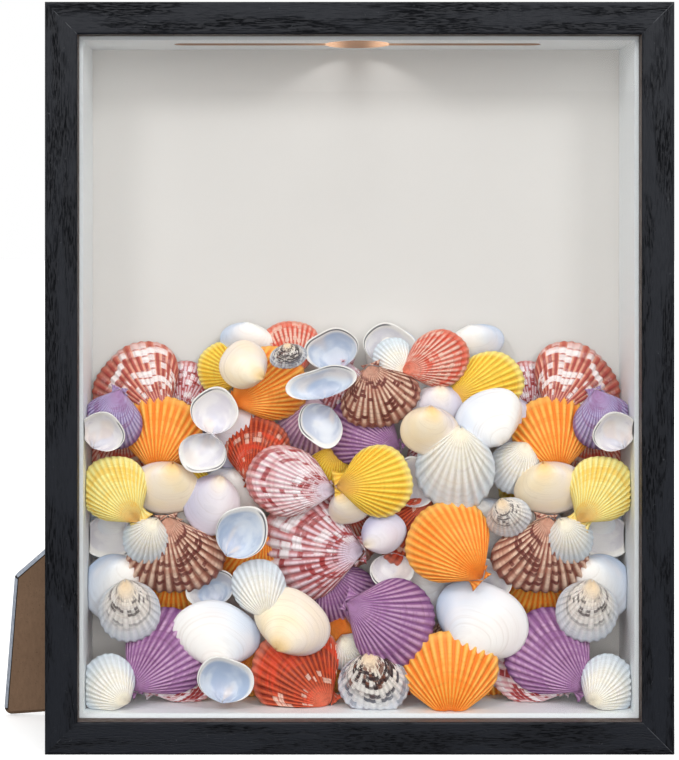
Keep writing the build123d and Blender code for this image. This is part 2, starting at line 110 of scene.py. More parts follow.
class Shader:
    """A material's node tree, built by short calls. A value may be a number, a colour or a socket."""

    def __init__(self, name):
        self.material = bpy.data.materials.new(name)
        self.material.use_nodes = True
        self.nodes = self.material.node_tree.nodes
        self.links = self.material.node_tree.links
        self.nodes.clear()
        self.output = self.nodes.new("ShaderNodeOutputMaterial")

    def put(self, socket, value):
        if isinstance(value, bpy.types.NodeSocket):
            self.links.new(value, socket)
        else:
            socket.default_value = value

    def node(self, kind, inputs=None, **settings):
        made = self.nodes.new(kind)
        for key, value in settings.items():
            setattr(made, key, value)
        for key, value in (inputs or {}).items():
            self.put(made.inputs[key], value)
        return made

    def calc(self, operation, a, b=0.0, c=0.0, clamp=False):
        made = self.node("ShaderNodeMath", {0: a, 1: b, 2: c}, operation=operation)
        made.use_clamp = clamp
        return made.outputs[0]

    def span(self, value, low, high, to_low=0.0, to_high=1.0, smooth=True):
        inputs = {"Value": value, "From Min": low, "From Max": high, "To Min": to_low, "To Max": to_high}
        made = self.node("ShaderNodeMapRange", inputs)
        made.interpolation_type = "SMOOTHSTEP" if smooth else "LINEAR"
        return made.outputs["Result"]

    def mix(self, factor, a, b, blend="MIX"):
        made = self.node("ShaderNodeMix", data_type="RGBA", blend_type=blend)
        for key, value in ((0, factor), (6, a), (7, b)):
            self.put(made.inputs[key], value)
        return made.outputs[2]

    def vector(self, x, y, z):
        return self.node("ShaderNodeCombineXYZ", {"X": x, "Y": y, "Z": z}).outputs[0]

    def split(self, vector):
        made = self.node("ShaderNodeSeparateXYZ", {0: vector})
        return made.outputs[0], made.outputs[1], made.outputs[2]

    def place(self):
        return self.node("ShaderNodeTexCoord").outputs["Object"]

    def normal(self):
        return self.node("ShaderNodeNewGeometry").outputs["True Normal"]

    def stretch(self, vector, scale):
        made = self.node("ShaderNodeVectorMath", {0: vector, 1: scale}, operation="MULTIPLY")
        return made.outputs[0]

    def noise(self, vector, scale, detail=3.0, roughness=0.5):
        inputs = {"Vector": vector, "Scale": scale, "Detail": detail, "Roughness": roughness}
        return self.node("ShaderNodeTexNoise", inputs).outputs["Fac"]

    def grown(self, across, out, seed, across_scale, out_scale, detail=3.0, roughness=0.6):
        """Noise laid out in a shell's own coordinates, across it and out from its hinge."""
        wide = self.calc("MULTIPLY", across, across_scale)
        far = self.calc("MULTIPLY", out, out_scale)
        return self.noise(self.vector(wide, far, seed), 1.0, detail, roughness)

    def dice(self, vector):
        """A steady random number for each whole-number cell."""
        made = self.node("ShaderNodeTexWhiteNoise", {"Vector": vector}, noise_dimensions="3D")
        return made.outputs["Value"]

    def dot(self, a, b):
        made = self.node("ShaderNodeVectorMath", {0: a, 1: b}, operation="DOT_PRODUCT")
        return made.outputs["Value"]

    def bump(self, height, distance, strength=1.0):
        inputs = {"Height": height, "Distance": distance, "Strength": strength}
        return self.node("ShaderNodeBump", inputs).outputs["Normal"]

    def surface(self, colour, roughness, normal=None, **sockets):
        inputs = {"Base Color": colour, "Roughness": roughness}
        for key, value in sockets.items():
            inputs[key.replace("_", " ").title().replace("Ior", "IOR")] = value
        if normal is not None:
            inputs["Normal"] = normal
        made = self.node("ShaderNodeBsdfPrincipled", inputs)
        self.links.new(made.outputs[0], self.output.inputs["Surface"])
        return self.material


def dress(node, material):
    """Gives a CAD node its finish."""
    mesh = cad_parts[node].data
    mesh.materials.clear()
    mesh.materials.append(material)


# ---------------------------------------------------------------- frame materials


def raw_board_colour(s, place):
    """Fibreboard: warm brown with fine fibres and darker flecks. Also gives its relief."""
    fibre = s.noise(s.stretch(place, (900.0, 900.0, 350.0)), 1.0, 4.0, 0.7)
    cloud = s.noise(place, 45.0, 2.0)
    fleck = s.span(s.noise(place, 1500.0, 2.0, 0.6), 0.60, 0.72)
    colour = s.mix(fibre, srgb(112, 88, 69), srgb(152, 123, 99))
    colour = s.mix(s.calc("MULTIPLY", cloud, 0.45), colour, srgb(116, 90, 70))
    colour = s.mix(s.calc("MULTIPLY", fleck, 0.5), colour, srgb(72, 54, 42))
    return colour, fibre


def cut_mask(s, place):
    """1 on the walls of the coin slot and the round hole, 0 elsewhere."""
    _, y, _ = s.split(place)
    _, _, up = s.split(s.normal())
    upright = s.calc("LESS_THAN", s.calc("ABSOLUTE", up), 0.5)
    off_middle = s.calc("ABSOLUTE", s.calc("SUBTRACT", y, OPENING_Y))
    inside = s.calc("LESS_THAN", off_middle, HOLE_RADIUS + 0.2 * MM)
    return s.calc("MULTIPLY", upright, inside)


def mitre_line(s, place):
    """A thin worn line along each mitre, as 0 to 1."""
    x, _, z = s.split(place)
    across = s.calc("SUBTRACT", RAIL_HALF, s.calc("ABSOLUTE", x))
    up = s.calc("MINIMUM", z, s.calc("SUBTRACT", TOP, z))
    gap = s.calc("ABSOLUTE", s.calc("SUBTRACT", across, up))
    worn = s.span(s.noise(place, 300.0, 2.0), 0.42, 0.62)
    return s.calc("MULTIPLY", s.span(gap, 0.22 * MM, 0.08 * MM), worn)


def lip_inner_face(s, place):
    """1 on the narrow faces of the lip that look into the opening, 0 elsewhere."""
    x, y, z = s.split(place)
    _, facing, _ = s.split(s.normal())
    sideways = s.calc("LESS_THAN", s.calc("ABSOLUTE", facing), 0.5)
    within_x = s.calc("LESS_THAN", s.calc("ABSOLUTE", x), RAIL_HALF - FACE + 0.05 * MM)
    off_middle = s.calc("ABSOLUTE", s.calc("SUBTRACT", z, TOP / 2))
    within_z = s.calc("LESS_THAN", off_middle, TOP / 2 - FACE + 0.05 * MM)
    shallow = s.calc("LESS_THAN", y, GLASS_FRONT)
    return s.calc("MULTIPLY", s.calc("MULTIPLY", sideways, shallow), s.calc("MULTIPLY", within_x, within_z))


def black_foil(name, along, openings=False):
    """Black open-pore wood-grain foil, with its grain along one axis."""
    s = Shader(name)
    place = s.place()
    fine = [2300.0, 2300.0, 2300.0]
    fine[along] = 260.0
    coarse = [170.0, 170.0, 170.0]
    coarse[along] = 24.0
    wave = [60.0, 60.0, 60.0]
    wave[along] = 9.0
    wander = s.noise(s.stretch(place, wave), 1.0, 2.0)
    drift = s.calc("MULTIPLY", wander, 9.0)
    bent = s.node("ShaderNodeVectorMath", {0: s.stretch(place, fine), 1: s.vector(drift, drift, drift)})
    pores = s.span(s.noise(bent.outputs[0], 1.0, 3.0, 0.6), 0.47, 0.62)
    groups = s.span(s.noise(s.stretch(place, coarse), 1.0, 3.0, 0.55), 0.42, 0.60)
    pore = s.calc("MULTIPLY", pores, s.calc("ADD", s.calc("MULTIPLY", groups, 0.85), 0.15))
    fibre = s.noise(s.stretch(place, [v * 1.7 for v in fine]), 1.0, 2.0, 0.6)
    colour = s.mix(groups, srgb(20, 23, 30), srgb(13, 15, 21))
    colour = s.mix(s.calc("MULTIPLY", fibre, 0.5), colour, srgb(28, 31, 39))
    colour = s.mix(s.calc("MULTIPLY", pore, 0.75), colour, srgb(4, 5, 7))
    worn = s.span(s.noise(place, 420.0, 4.0, 0.7), 0.66, 0.74)
    edge = s.node("ShaderNodeNewGeometry").outputs["Pointiness"]
    rub = s.calc("MULTIPLY", worn, s.span(edge, 0.515, 0.56))
    colour = s.mix(s.calc("MULTIPLY", rub, 0.3), colour, srgb(96, 98, 102))
    colour = s.mix(s.calc("MULTIPLY", mitre_line(s, place), 0.5), colour, srgb(104, 106, 110))
    colour = s.mix(lip_inner_face(s, place), colour, s.mix(fibre, srgb(66, 52, 47), srgb(98, 84, 77)))
    height = s.calc("SUBTRACT", s.calc("MULTIPLY", fibre, 0.25), pore)
    relief = s.bump(height, 0.20 * MM, 1.0)
    rough = s.calc("MULTIPLY_ADD", pore, 0.30, s.calc("MULTIPLY_ADD", fibre, 0.14, 0.40))
    if openings:
        mask = cut_mask(s, place)
        board, _ = raw_board_colour(s, place)
        warm = s.mix(0.45, board, srgb(205, 165, 132))
        colour = s.mix(mask, colour, warm)
        rough = s.calc("MAXIMUM", rough, s.calc("MULTIPLY", mask, 0.85))
    shine = s.calc("MULTIPLY_ADD", pore, -0.18, 0.29)
    return s.surface(colour, rough, relief, specular_ior_level=shine)


def white_board(name, tone, openings=False):
    """White-faced card: matt, with faint fibres and mottling."""
    s = Shader(name)
    place = s.place()
    cloud = s.noise(place, 28.0, 3.0, 0.6)
    fibre = s.noise(s.stretch(place, (700.0, 700.0, 1600.0)), 1.0, 4.0, 0.65)
    low = tuple(c * 0.965 for c in tone[:3]) + (1.0,)
    colour = s.mix(cloud, tone, low)
    colour = s.mix(s.calc("MULTIPLY", s.span(fibre, 0.35, 0.7), 0.10), colour, srgb(214, 208, 200))
    speck = s.span(s.noise(place, 900.0, 1.0), 0.79, 0.83)
    colour = s.mix(s.calc("MULTIPLY", speck, 0.5), colour, srgb(170, 150, 125))
    rough = s.span(cloud, 0.2, 0.8, 0.62, 0.78)
    if openings:
        mask = cut_mask(s, place)
        board, _ = raw_board_colour(s, place)
        colour = s.mix(mask, colour, s.mix(0.5, board, srgb(215, 170, 135)))
    return s.surface(colour, rough, s.bump(fibre, 0.03 * MM, 0.6), specular_ior_level=0.25)


def bevel_planes(node):
    """The planes of a node's bevels along its front's left-hand edges, in its own coordinates: the edges that get
    a painted highlight.
    """
    planes = {}
    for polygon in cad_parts[node].data.polygons:
        key = tuple(round(v, 2) for v in polygon.normal)
        plane = planes.setdefault(key, [0.0, polygon.normal.copy(), polygon.center.copy()])
        plane[0] += polygon.area
    left = [p for p in planes.values() if p[0] > 20 * MM**2 and -0.9 < p[1].y < -0.7 and p[1].x < -0.2]
    return [(tuple(normal), normal.dot(centre)) for _, normal, centre in left]


def raw_board(name, bevels=()):
    """Bare fibreboard; along any bevels given, a black rim line and a pale blue-grey painted highlight on the
    bevel face.
    """
    s = Shader(name)
    place = s.place()
    colour, fibre = raw_board_colour(s, place)
    for normal, distance in bevels:
        gap = s.calc("ABSOLUTE", s.calc("SUBTRACT", s.dot(place, normal), distance))
        # Painted highlight: the pale blue-grey on the bevel face stands in for light caught by the left-facing
        # edges.
        bevel_highlight = s.mix(s.span(fibre, 0.35, 0.70), srgb(178, 186, 198), srgb(142, 150, 164))
        colour = s.mix(s.span(gap, 0.34 * MM, 0.22 * MM, smooth=False), colour, srgb(34, 30, 30))
        colour = s.mix(s.calc("LESS_THAN", gap, 0.06 * MM), colour, bevel_highlight)
    stain = s.span(s.noise(place, 12.0, 3.0, 0.6), 0.35, 0.75)
    colour = s.mix(s.calc("MULTIPLY", stain, 0.3), colour, srgb(92, 70, 54))
    rough = s.span(fibre, 0.2, 0.8, 0.74, 0.9)
    return s.surface(colour, rough, s.bump(fibre, 0.06 * MM, 0.8), specular_ior_level=0.2)


def zinc_steel(name):
    """Zinc-plated pressed steel: fine rolling lines, cloudy plating, small scuffs."""
    s = Shader(name)
    place = s.place()
    roll = s.noise(s.stretch(place, (350.0, 350.0, 4200.0)), 1.0, 3.0, 0.7)
    cloud = s.noise(place, 260.0, 4.0, 0.6)
    scuff = s.span(s.noise(s.stretch(place, (3000.0, 700.0, 500.0)), 1.0, 2.0), 0.66, 0.72)
    colour = s.mix(cloud, srgb(206, 208, 212), srgb(172, 174, 178))
    colour = s.mix(s.calc("MULTIPLY", scuff, 0.5), colour, srgb(222, 224, 226))
    rough = s.calc("ADD", s.calc("MULTIPLY", cloud, 0.22), s.calc("MULTIPLY", roll, 0.16))
    rough = s.calc("ADD", rough, 0.12)
    return s.surface(colour, rough, s.bump(roll, 0.015 * MM, 0.5), metallic=1.0)


def clear_glass(name):
    """Clear float glass that lets the light through, with faint dust and a thin reflection."""
    s = Shader(name)
    place = s.place()
    dust = s.span(s.noise(place, 1900.0, 2.0, 0.6), 0.70, 0.80)
    smear = s.noise(s.stretch(place, (14.0, 14.0, 5.0)), 1.0, 3.0, 0.6)
    clear = s.node("ShaderNodeBsdfTransparent", {"Color": (0.992, 0.994, 0.994, 1.0)})
    gloss = s.node("ShaderNodeBsdfGlossy", {"Color": (1.0, 1.0, 1.0, 1.0)})
    s.put(gloss.inputs["Roughness"], s.span(smear, 0.3, 0.8, 0.01, 0.05))
    fresnel = s.node("ShaderNodeFresnel", {"IOR": 1.30}).outputs[0]
    amount = s.calc("ADD", s.calc("MULTIPLY", fresnel, 0.45), s.calc("MULTIPLY", dust, 0.012), clamp=True)
    mixed = s.node("ShaderNodeMixShader", {0: amount, 1: clear.outputs[0], 2: gloss.outputs[0]})
    s.links.new(mixed.outputs[0], s.output.inputs["Surface"])
    return s.material


def dress_frame():
    """Better finishes for the CAD nodes that stay."""
    for node, along in (("frame_rail_bottom", 0), ("frame_rail_left", 2), ("frame_rail_right", 2)):
        dress(node, black_foil("foil_" + node, along))
    dress("frame_rail_top", black_foil("foil_frame_rail_top", 0, openings=True))
    liner = srgb(248, 252, 254)
    for node in ("liner_left", "liner_right", "liner_bottom"):
        dress(node, white_board("board_" + node, liner))
    dress("liner_top", white_board("board_liner_top", liner, openings=True))
    dress("backing_card", white_board("board_backing_card", srgb(222, 219, 215)))
    dress("back_panel", raw_board("raw_back_panel"))
    dress("glass_pane", clear_glass("clear_glass"))
    steel = zinc_steel("zinc_steel")
    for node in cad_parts:
        if node.startswith(("turn_button", "leg_hinge", "sawtooth", "corner_v")) or node.endswith("rivets"):
            dress(node, steel)
    dress("easel_leg", raw_board("raw_easel_leg", bevel_planes("easel_leg")))


# ---------------------------------------------------------------- shell meshes


def solid_cores(node):
    """Each shell's solid in a CAD node: its rim outline and its depths, found from the mesh."""
    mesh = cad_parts[node].data
    points = np.array([v.co[:] for v in mesh.vertices])
    keys = {}
    merged = np.array([keys.setdefault(tuple(np.round(p, 6)), len(keys)) for p in points])
    parent = list(range(len(keys)))

    def root(i):
        while parent[i] != i:
            parent[i] = parent[parent[i]]
            i = parent[i]
        return i

    for polygon in mesh.polygons:
        corners = [merged[i] for i in polygon.vertices]
        for corner in corners[1:]:
            parent[root(corner)] = root(corners[0])
    groups = {}
    for key, index in keys.items():
        groups.setdefault(root(index), []).append(key)
    cores = [core_of(np.array(group)) for group in groups.values()]
    return sorted(cores, key=lambda core: (core["x"], core["z"], core["back"]))


def core_of(points):
    """Place, size and heading of one shell, from its core. The rim's shortest side is its hinge."""
    back, front = points[:, 1].max(), points[:, 1].min()
    rim = points[points[:, 1] > back - 0.01 * MM][:, [0, 2]]
    middle = rim.mean(0)
    turn = np.arctan2(rim[:, 1] - middle[1], rim[:, 0] - middle[0])
    rim = rim[np.argsort(turn)]
    following = np.roll(rim, -1, axis=0)
    sides = np.linalg.norm(following - rim, axis=1)
    first = int(np.argmin(sides))
    hinge = (rim[first] + following[first]) / 2
    other = (first + len(rim) // 2) % len(rim)
    margin = (rim[other] + following[other]) / 2
    axis = (margin - hinge) / np.linalg.norm(margin - hinge)
    across = rim @ np.array([-axis[1], axis[0]])
    centre = (hinge + margin) / 2
    return {
        "x": float(centre[0]),
        "z": float(centre[1]),
        "length": float(np.linalg.norm(margin - hinge)) / SHELL_SHARE,
        "width": float(across.max() - across.min()) / SHELL_SHARE,
        "axis": axis,
        "front": float(front),
        "back": float(back),
    }


def margin_curve(form, length, width, skew, columns):
    """Points along the margin, evenly spaced, from one end of the hinge to the other."""
    waist = form["waist"]
    middle = length / (1 + waist)
    half_long = length - middle
    half_wide = width / 2
    limit = math.acos(-waist)
    turn = np.linspace(-limit, limit, 1200)
    x = middle + half_long * np.cos(turn)
    y = half_wide * np.sin(turn) / max(np.sin(turn).max(), 1e-6) + skew * width
    run = np.concatenate([[0.0], np.cumsum(np.hypot(np.diff(x), np.diff(y)))])
    even = np.linspace(0, run[-1], columns)
    return np.interp(even, run, x), np.interp(even, run, y), run[-1]


def ribbed_grid(form, length, width, rng, flip):
    """A shell's outer and inner surface as one closed mesh, its hinge at the origin, margin to +X."""
    ribs = form["ribs"] + (int(rng.integers(-2, 3)) if form["ribs"] else 0)
    columns = ribs * SAMPLES_PER_RIB + 1 if ribs else SMOOTH_COLUMNS
    skew = 0.0 if form["ears"] else float(rng.uniform(-0.10, 0.10))
    edge_x, edge_y, run = margin_curve(form, length, width, skew, columns)
    t = np.linspace(-1, 1, columns)
    r = np.linspace(0, 1, ROWS) ** 0.85
    r[0] = 0.02
    rib = np.cos(math.pi * ribs * t) if ribs else np.zeros(columns)
    uneven = 1 + 0.35 * np.sin(t * 7 + rng.uniform(0, 6)) * (1 if ribs else 0)
    fade = np.clip((1 - np.abs(t)) / 0.12, 0, 1)
    spacing = run / max(ribs, 1)
    height = form["rib"] * spacing * rib * fade * uneven
    scallops = 1 + 0.25 * form["rib"] * spacing / length * (rib * fade)
    wave = form["wave"]
    slow = np.sin(t * 5 + rng.uniform(0, 6))
    quick = np.sin(t * 11 + rng.uniform(0, 6))
    wobble = 1 + 0.012 * wave * slow + 0.008 * wave * quick
    dome = min(form["dome"] * min(length * 1.1, width), TALLEST_DOME)
    R, T = np.meshgrid(r, t, indexing="ij")
    swell = 1 - np.abs(2 * R ** form["peak"] - 1) ** 2.3
    side = (1 - np.abs(T) ** 3.4) ** 0.8
    rings = sum(
        0.010 * math.tanh(3) * np.tanh(9 * (R - place)) * depth
        for place, depth in zip(rng.uniform(0.35, 0.95, 3), rng.uniform(0.3, 1.0, 3))
    )
    X = R * edge_x * wobble * (1 + (scallops - 1) * R**3)
    Y = R * edge_y * wobble * (1 + (scallops - 1) * R**3) * flip
    Z = dome * swell * side + height * R**0.9 * np.clip((1 - R) * 10, 0.5, 1) - rings * dome * R
    thick = SHELL_THICKNESS * (0.8 if ribs else 1.0)
    inner_z = dome * 0.99 * swell * side + 0.5 * height * R**0.9 - thick
    outer = np.stack([X, Y, Z], -1).reshape(-1, 3)
    inner = np.stack([X * 0.995, Y * 0.995, inner_z], -1).reshape(-1, 3)
    count = ROWS * columns
    grid = np.arange(count).reshape(ROWS, columns)
    a, b, c, d = grid[:-1, :-1], grid[1:, :-1], grid[1:, 1:], grid[:-1, 1:]
    top = np.stack([a, b, c, d], -1).reshape(-1, 4)
    low = top[:, ::-1] + count
    loop = np.concatenate([grid[0, :-1], grid[:-1, -1], grid[-1, ::-1][:-1], grid[::-1, 0][:-1]])
    after = np.roll(loop, -1)
    wall = np.stack([loop, after, after + count, loop + count], -1)
    faces = np.concatenate([top, low, wall])
    if flip < 0:
        faces = faces[:, ::-1]
    shell = np.stack([np.tile(T.reshape(-1), 2), np.tile(R.reshape(-1), 2)], -1)
    rib_field = np.broadcast_to(rib * fade, R.shape).reshape(-1)
    counts = np.full(2 * count, float(ribs))
    detail = np.stack([np.tile(rib_field, 2), np.repeat([0.0, 1.0], count), counts], -1)
    return np.concatenate([outer, inner]), faces, shell, detail


def ear(length, width, side, size):
    """One of a scallop's two flat wings beside the hinge, as a closed ribbed plate."""
    long_steps, wide_steps = 10, 12
    u = np.linspace(0, 1, wide_steps)[None, :]
    v = np.linspace(0, 1, long_steps)[:, None]
    out = 0.27 * width * size * side
    x = -0.03 * length * (1 - v) * (0.4 + 0.6 * u) + 0.19 * length * size * v * (0.9 + 0.25 * u)
    y = out * u * (1 - 0.20 * v - 0.5 * v * (1 - v)) + side * 0.15 * width * v * (1 - u)
    z = 0.55 * MM + 0.35 * MM * np.cos(u * math.pi * 5) * (1 - 0.4 * v) + 0.9 * MM * (1 - u) * (1 - 0.5 * v)
    x, y, z = np.broadcast_arrays(x, y, z)
    upper = np.stack([x, y, z], -1).reshape(-1, 3)
    lower = upper - np.array([0, 0, 0.8 * MM])
    count = long_steps * wide_steps
    grid = np.arange(count).reshape(long_steps, wide_steps)
    a, b, c, d = grid[:-1, :-1], grid[1:, :-1], grid[1:, 1:], grid[:-1, 1:]
    top = np.stack([a, b, c, d], -1).reshape(-1, 4)
    loop = np.concatenate([grid[0, :-1], grid[:-1, -1], grid[-1, ::-1][:-1], grid[::-1, 0][:-1]])
    after = np.roll(loop, -1)
    wall = np.stack([loop, after, after + count, loop + count], -1)
    faces = np.concatenate([top, top[:, ::-1] + count, wall])
    if side < 0:
        faces = faces[:, ::-1]
    U, V = np.broadcast_arrays(u * 0.35 * side, 0.25 + 0.25 * v)
    shell = np.tile(np.stack([U, V], -1).reshape(-1, 2), (2, 1))
    detail = np.zeros((2 * count, 3))
    detail[:, 2] = EAR_RIBS
    detail[:, 0] = np.tile(np.broadcast_to(np.cos(u * math.pi * 5), x.shape).reshape(-1), 2)
    return np.concatenate([upper, lower]), faces, shell, detail


def turned(points, core, rng, flip, opened, lift):
    """Stands a shell in the box: heading, a small tilt, and its depth. What would pass a wall is flattened."""
    axis = core["axis"]
    toward = -1.0 if not opened else 1.0
    long_dir = np.array([axis[0], 0, axis[1]])
    up_dir = np.array([0, toward, 0])
    wide_dir = np.cross(up_dir, long_dir)
    tip, roll = rng.uniform(-LARGEST_TILT, LARGEST_TILT, 2)
    roll *= flip
    local = points - np.array([core["length"] / 2, 0, 0])
    ct, st, cr, sr = math.cos(tip), math.sin(tip), math.cos(roll), math.sin(roll)
    tipped = np.array([[ct, 0, st], [0, 1, 0], [-st, 0, ct]])
    rolled = np.array([[1, 0, 0], [0, cr, -sr], [0, sr, cr]])
    tilt = tipped @ rolled
    local = local @ tilt.T
    world = local @ np.array([long_dir, wide_dir, up_dir])
    world += np.array([core["x"], 0, core["z"]])
    rim = core["front"] + 0.4 * MM if opened else core["back"]
    world[:, 1] += rim - lift
    low, high = GLASS_BACK + GLASS_ROOM, CARD_FRONT - CARD_ROOM
    world[:, 1] += max(0.0, low - world[:, 1].min())
    world[:, 1] -= max(0.0, world[:, 1].max() - high)
    world[:, 1] = np.clip(world[:, 1], low, high)
    world[:, 0] = np.clip(world[:, 0], CAVITY_LEFT + WALL_ROOM, CAVITY_RIGHT - WALL_ROOM)
    world[:, 2] = np.maximum(world[:, 2], CAVITY_FLOOR + WALL_ROOM)
    return world


def shell_piece(node, form_name, material, slot, salt=0):
    """Every shell of one kind, as one piece in place of its CAD node."""
    form = FORMS[form_name]
    opened = form_name == "open"
    verts, faces, shells, details = [], [], [], []
    start = 0
    for core in solid_cores(node):
        seed = int(round(abs(core["x"]) / MM)) * 1009 + int(round(core["z"] / MM)) * 31 + salt
        rng = np.random.default_rng(seed)
        flip = -1.0 if core["x"] < 0 else 1.0
        hue = float(rng.uniform(0, 1))
        parts = [ribbed_grid(form, core["length"], core["width"], rng, flip)]
        if form["ears"]:
            sizes = form["ears"] * rng.permutation([1.0, 0.72])
            parts += [ear(core["length"], core["width"], s, k) for s, k in zip((-1, 1), sizes)]
        state = np.random.default_rng(seed + 1)
        joined = np.concatenate([p[0] for p in parts])
        world = turned(joined, core, state, flip, opened, form["lift"])
        offset = 0
        for part in parts:
            size = len(part[0])
            faces.append(part[1] + start + offset)
            shells.append(np.column_stack([part[2], np.full(size, hue)]))
            details.append(part[3])
            offset += size
        verts.append(world)
        start += len(world)
    mesh = bpy.data.meshes.new(node)
    verts, faces = np.concatenate(verts), np.concatenate(faces)
    mesh.vertices.add(len(verts))
    mesh.vertices.foreach_set("co", verts.astype(np.float32).ravel())
    mesh.loops.add(faces.size)
    mesh.loops.foreach_set("vertex_index", faces.astype(np.int32).ravel())
    mesh.polygons.add(len(faces))
    mesh.polygons.foreach_set("loop_start", np.arange(0, faces.size, 4, dtype=np.int32))
    mesh.polygons.foreach_set("use_smooth", np.ones(len(faces), dtype=bool))
    for label, data in (("shell", np.concatenate(shells)), ("detail", np.concatenate(details))):
        layer = mesh.attributes.new(label, "FLOAT_VECTOR", "POINT")
        layer.data.foreach_set("vector", data.astype(np.float32).ravel())
    mesh.update(calc_edges=True)
    mesh.validate()
    piece = bpy.data.objects.new("shell_pile_" + node.removeprefix("shells_"), mesh)
    bpy.context.scene.collection.objects.link(piece)
    mesh.materials.append(material)
    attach(piece, "root")
    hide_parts(node)


# ---------------------------------------------------------------- shell materials


def shell_fields(s):
    """The shell's own coordinates: across, out from the hinge, a seed, the ribs, the inside, rib count."""
    first = s.node("ShaderNodeAttribute", attribute_name="shell").outputs["Vector"]
    second = s.node("ShaderNodeAttribute", attribute_name="detail").outputs["Vector"]
    across, out, hue = s.split(first)
    rib, inside, ribs = s.split(second)
    return across, out, hue, rib, inside, ribs


def rib_flecks(s, across, out, ribs, seed, rows, share):
    """Blocks one rib wide that sit in rows round the hinge, as 0 to 1."""
    index = s.calc("FLOOR", s.calc("MULTIPLY_ADD", across, s.calc("MULTIPLY", ribs, 0.5), 0.5))
    drift = s.noise(s.vector(s.calc("MULTIPLY", across, 1.6), 0.0, seed), 1.0, 1.0)
    jitter = s.calc("MULTIPLY", s.dice(s.vector(index, 7.0, seed)), 0.5)
    row = s.calc("ADD", s.calc("MULTIPLY_ADD", out, rows, s.calc("MULTIPLY", drift, 2.5)), jitter)
    step = s.calc("FLOOR", row)
    chance = s.dice(s.vector(index, step, seed))
    belt = s.grown(across, step, seed, 0.9, 0.55, 1.0, 0.5)
    weight = s.calc("MULTIPLY_ADD", chance, 0.55, s.calc("MULTIPLY", s.span(belt, 0.32, 0.68), 0.45))
    block = s.calc("GREATER_THAN", weight, 1.0 - share)
    within = s.calc("FRACT", row)
    ends = s.calc("MULTIPLY", s.span(within, 0.0, 0.16), s.span(within, 1.0, 0.80))
    return s.calc("MULTIPLY", block, ends)


def ribbed_shell(
    name, crest, valley, band, hinge, edge, inner, *, bands=9.0, band_amount=0.5, flecks=(), other=None,
    lines=0.35, faint=(-2.0, -1.0), margin=0.88, specks=None,
):
    """A scallop or cockle: ribs, growth bands, a tinted hinge and margin, flecks, and a pale inside.

    `flecks` are (colour, rows, share), and `specks` is one of them that keeps to the middle. `other` is a
    second crest and valley with the two seeds it fades between. `faint` are the seeds that flecks fade between.
    """
    s = Shader(name)
    across, out, hue, rib, inside, ribs = shell_fields(s)
    seed = s.calc("MULTIPLY", hue, 53.0)
    high = s.span(s.calc("MULTIPLY_ADD", rib, 0.5, 0.5), 0.12, 0.80)
    if other is not None:
        second_crest, second_valley, low, top = other
        pick = s.span(hue, low, top)
        crest = s.mix(pick, crest, second_crest)
        valley = s.mix(pick, valley, second_valley)
    colour = s.mix(high, valley, crest)
    growth = s.grown(across, out, seed, 1.2, bands)
    colour = s.mix(s.calc("MULTIPLY", s.span(growth, 0.46, 0.62), band_amount), colour, band)
    streak = s.grown(across, out, seed, 26.0, 2.2, 2.0, 0.5)
    colour = s.mix(s.calc("MULTIPLY", s.span(streak, 0.5, 0.75), 0.30), colour, crest)
    near = s.span(out, 0.05, 0.45, 1.0, 0.0)
    colour = s.mix(s.calc("MULTIPLY", near, 0.75), colour, hinge)
    for tint, rows, share in flecks:
        fleck = rib_flecks(s, across, out, ribs, s.calc("ADD", seed, rows), rows, share)
        strength = s.calc("MULTIPLY", s.span(out, 0.12, 0.30), s.span(hue, *faint, 0.16, 1.0))
        colour = s.mix(s.calc("MULTIPLY", fleck, strength), colour, tint)
    if specks is not None:
        tint, rows, share = specks
        speck = rib_flecks(s, across, out, ribs, s.calc("ADD", seed, 3.0), rows, share)
        around = s.calc("MULTIPLY", s.span(out, 0.22, 0.36), s.span(out, 0.86, 0.56))
        colour = s.mix(s.calc("MULTIPLY", s.calc("MULTIPLY", speck, around), 0.85), colour, tint)
    far = s.span(out, margin, 1.0)
    colour = s.mix(s.calc("MULTIPLY", far, 0.6), colour, edge)
    ring = s.grown(across, out, seed, 2.0, 46.0, 2.0)
    dark = s.mix(1.0, colour, srgb(196, 176, 170), blend="MULTIPLY")
    colour = s.mix(s.calc("MULTIPLY", s.span(ring, 0.48, 0.70), lines), colour, dark)
    colour = s.mix(inside, colour, inner)
    fine = s.grown(across, out, seed, 3.0, 120.0, 2.0)
    grain = s.noise(s.place(), 1400.0, 2.0, 0.6)
    height = s.calc("ADD", s.calc("MULTIPLY", fine, 0.8), s.calc("MULTIPLY", grain, 0.3))
    rough = s.span(growth, 0.3, 0.7, 0.36, 0.56)
    return s.surface(colour, rough, s.bump(height, 0.12 * MM, 0.6), specular_ior_level=0.45)


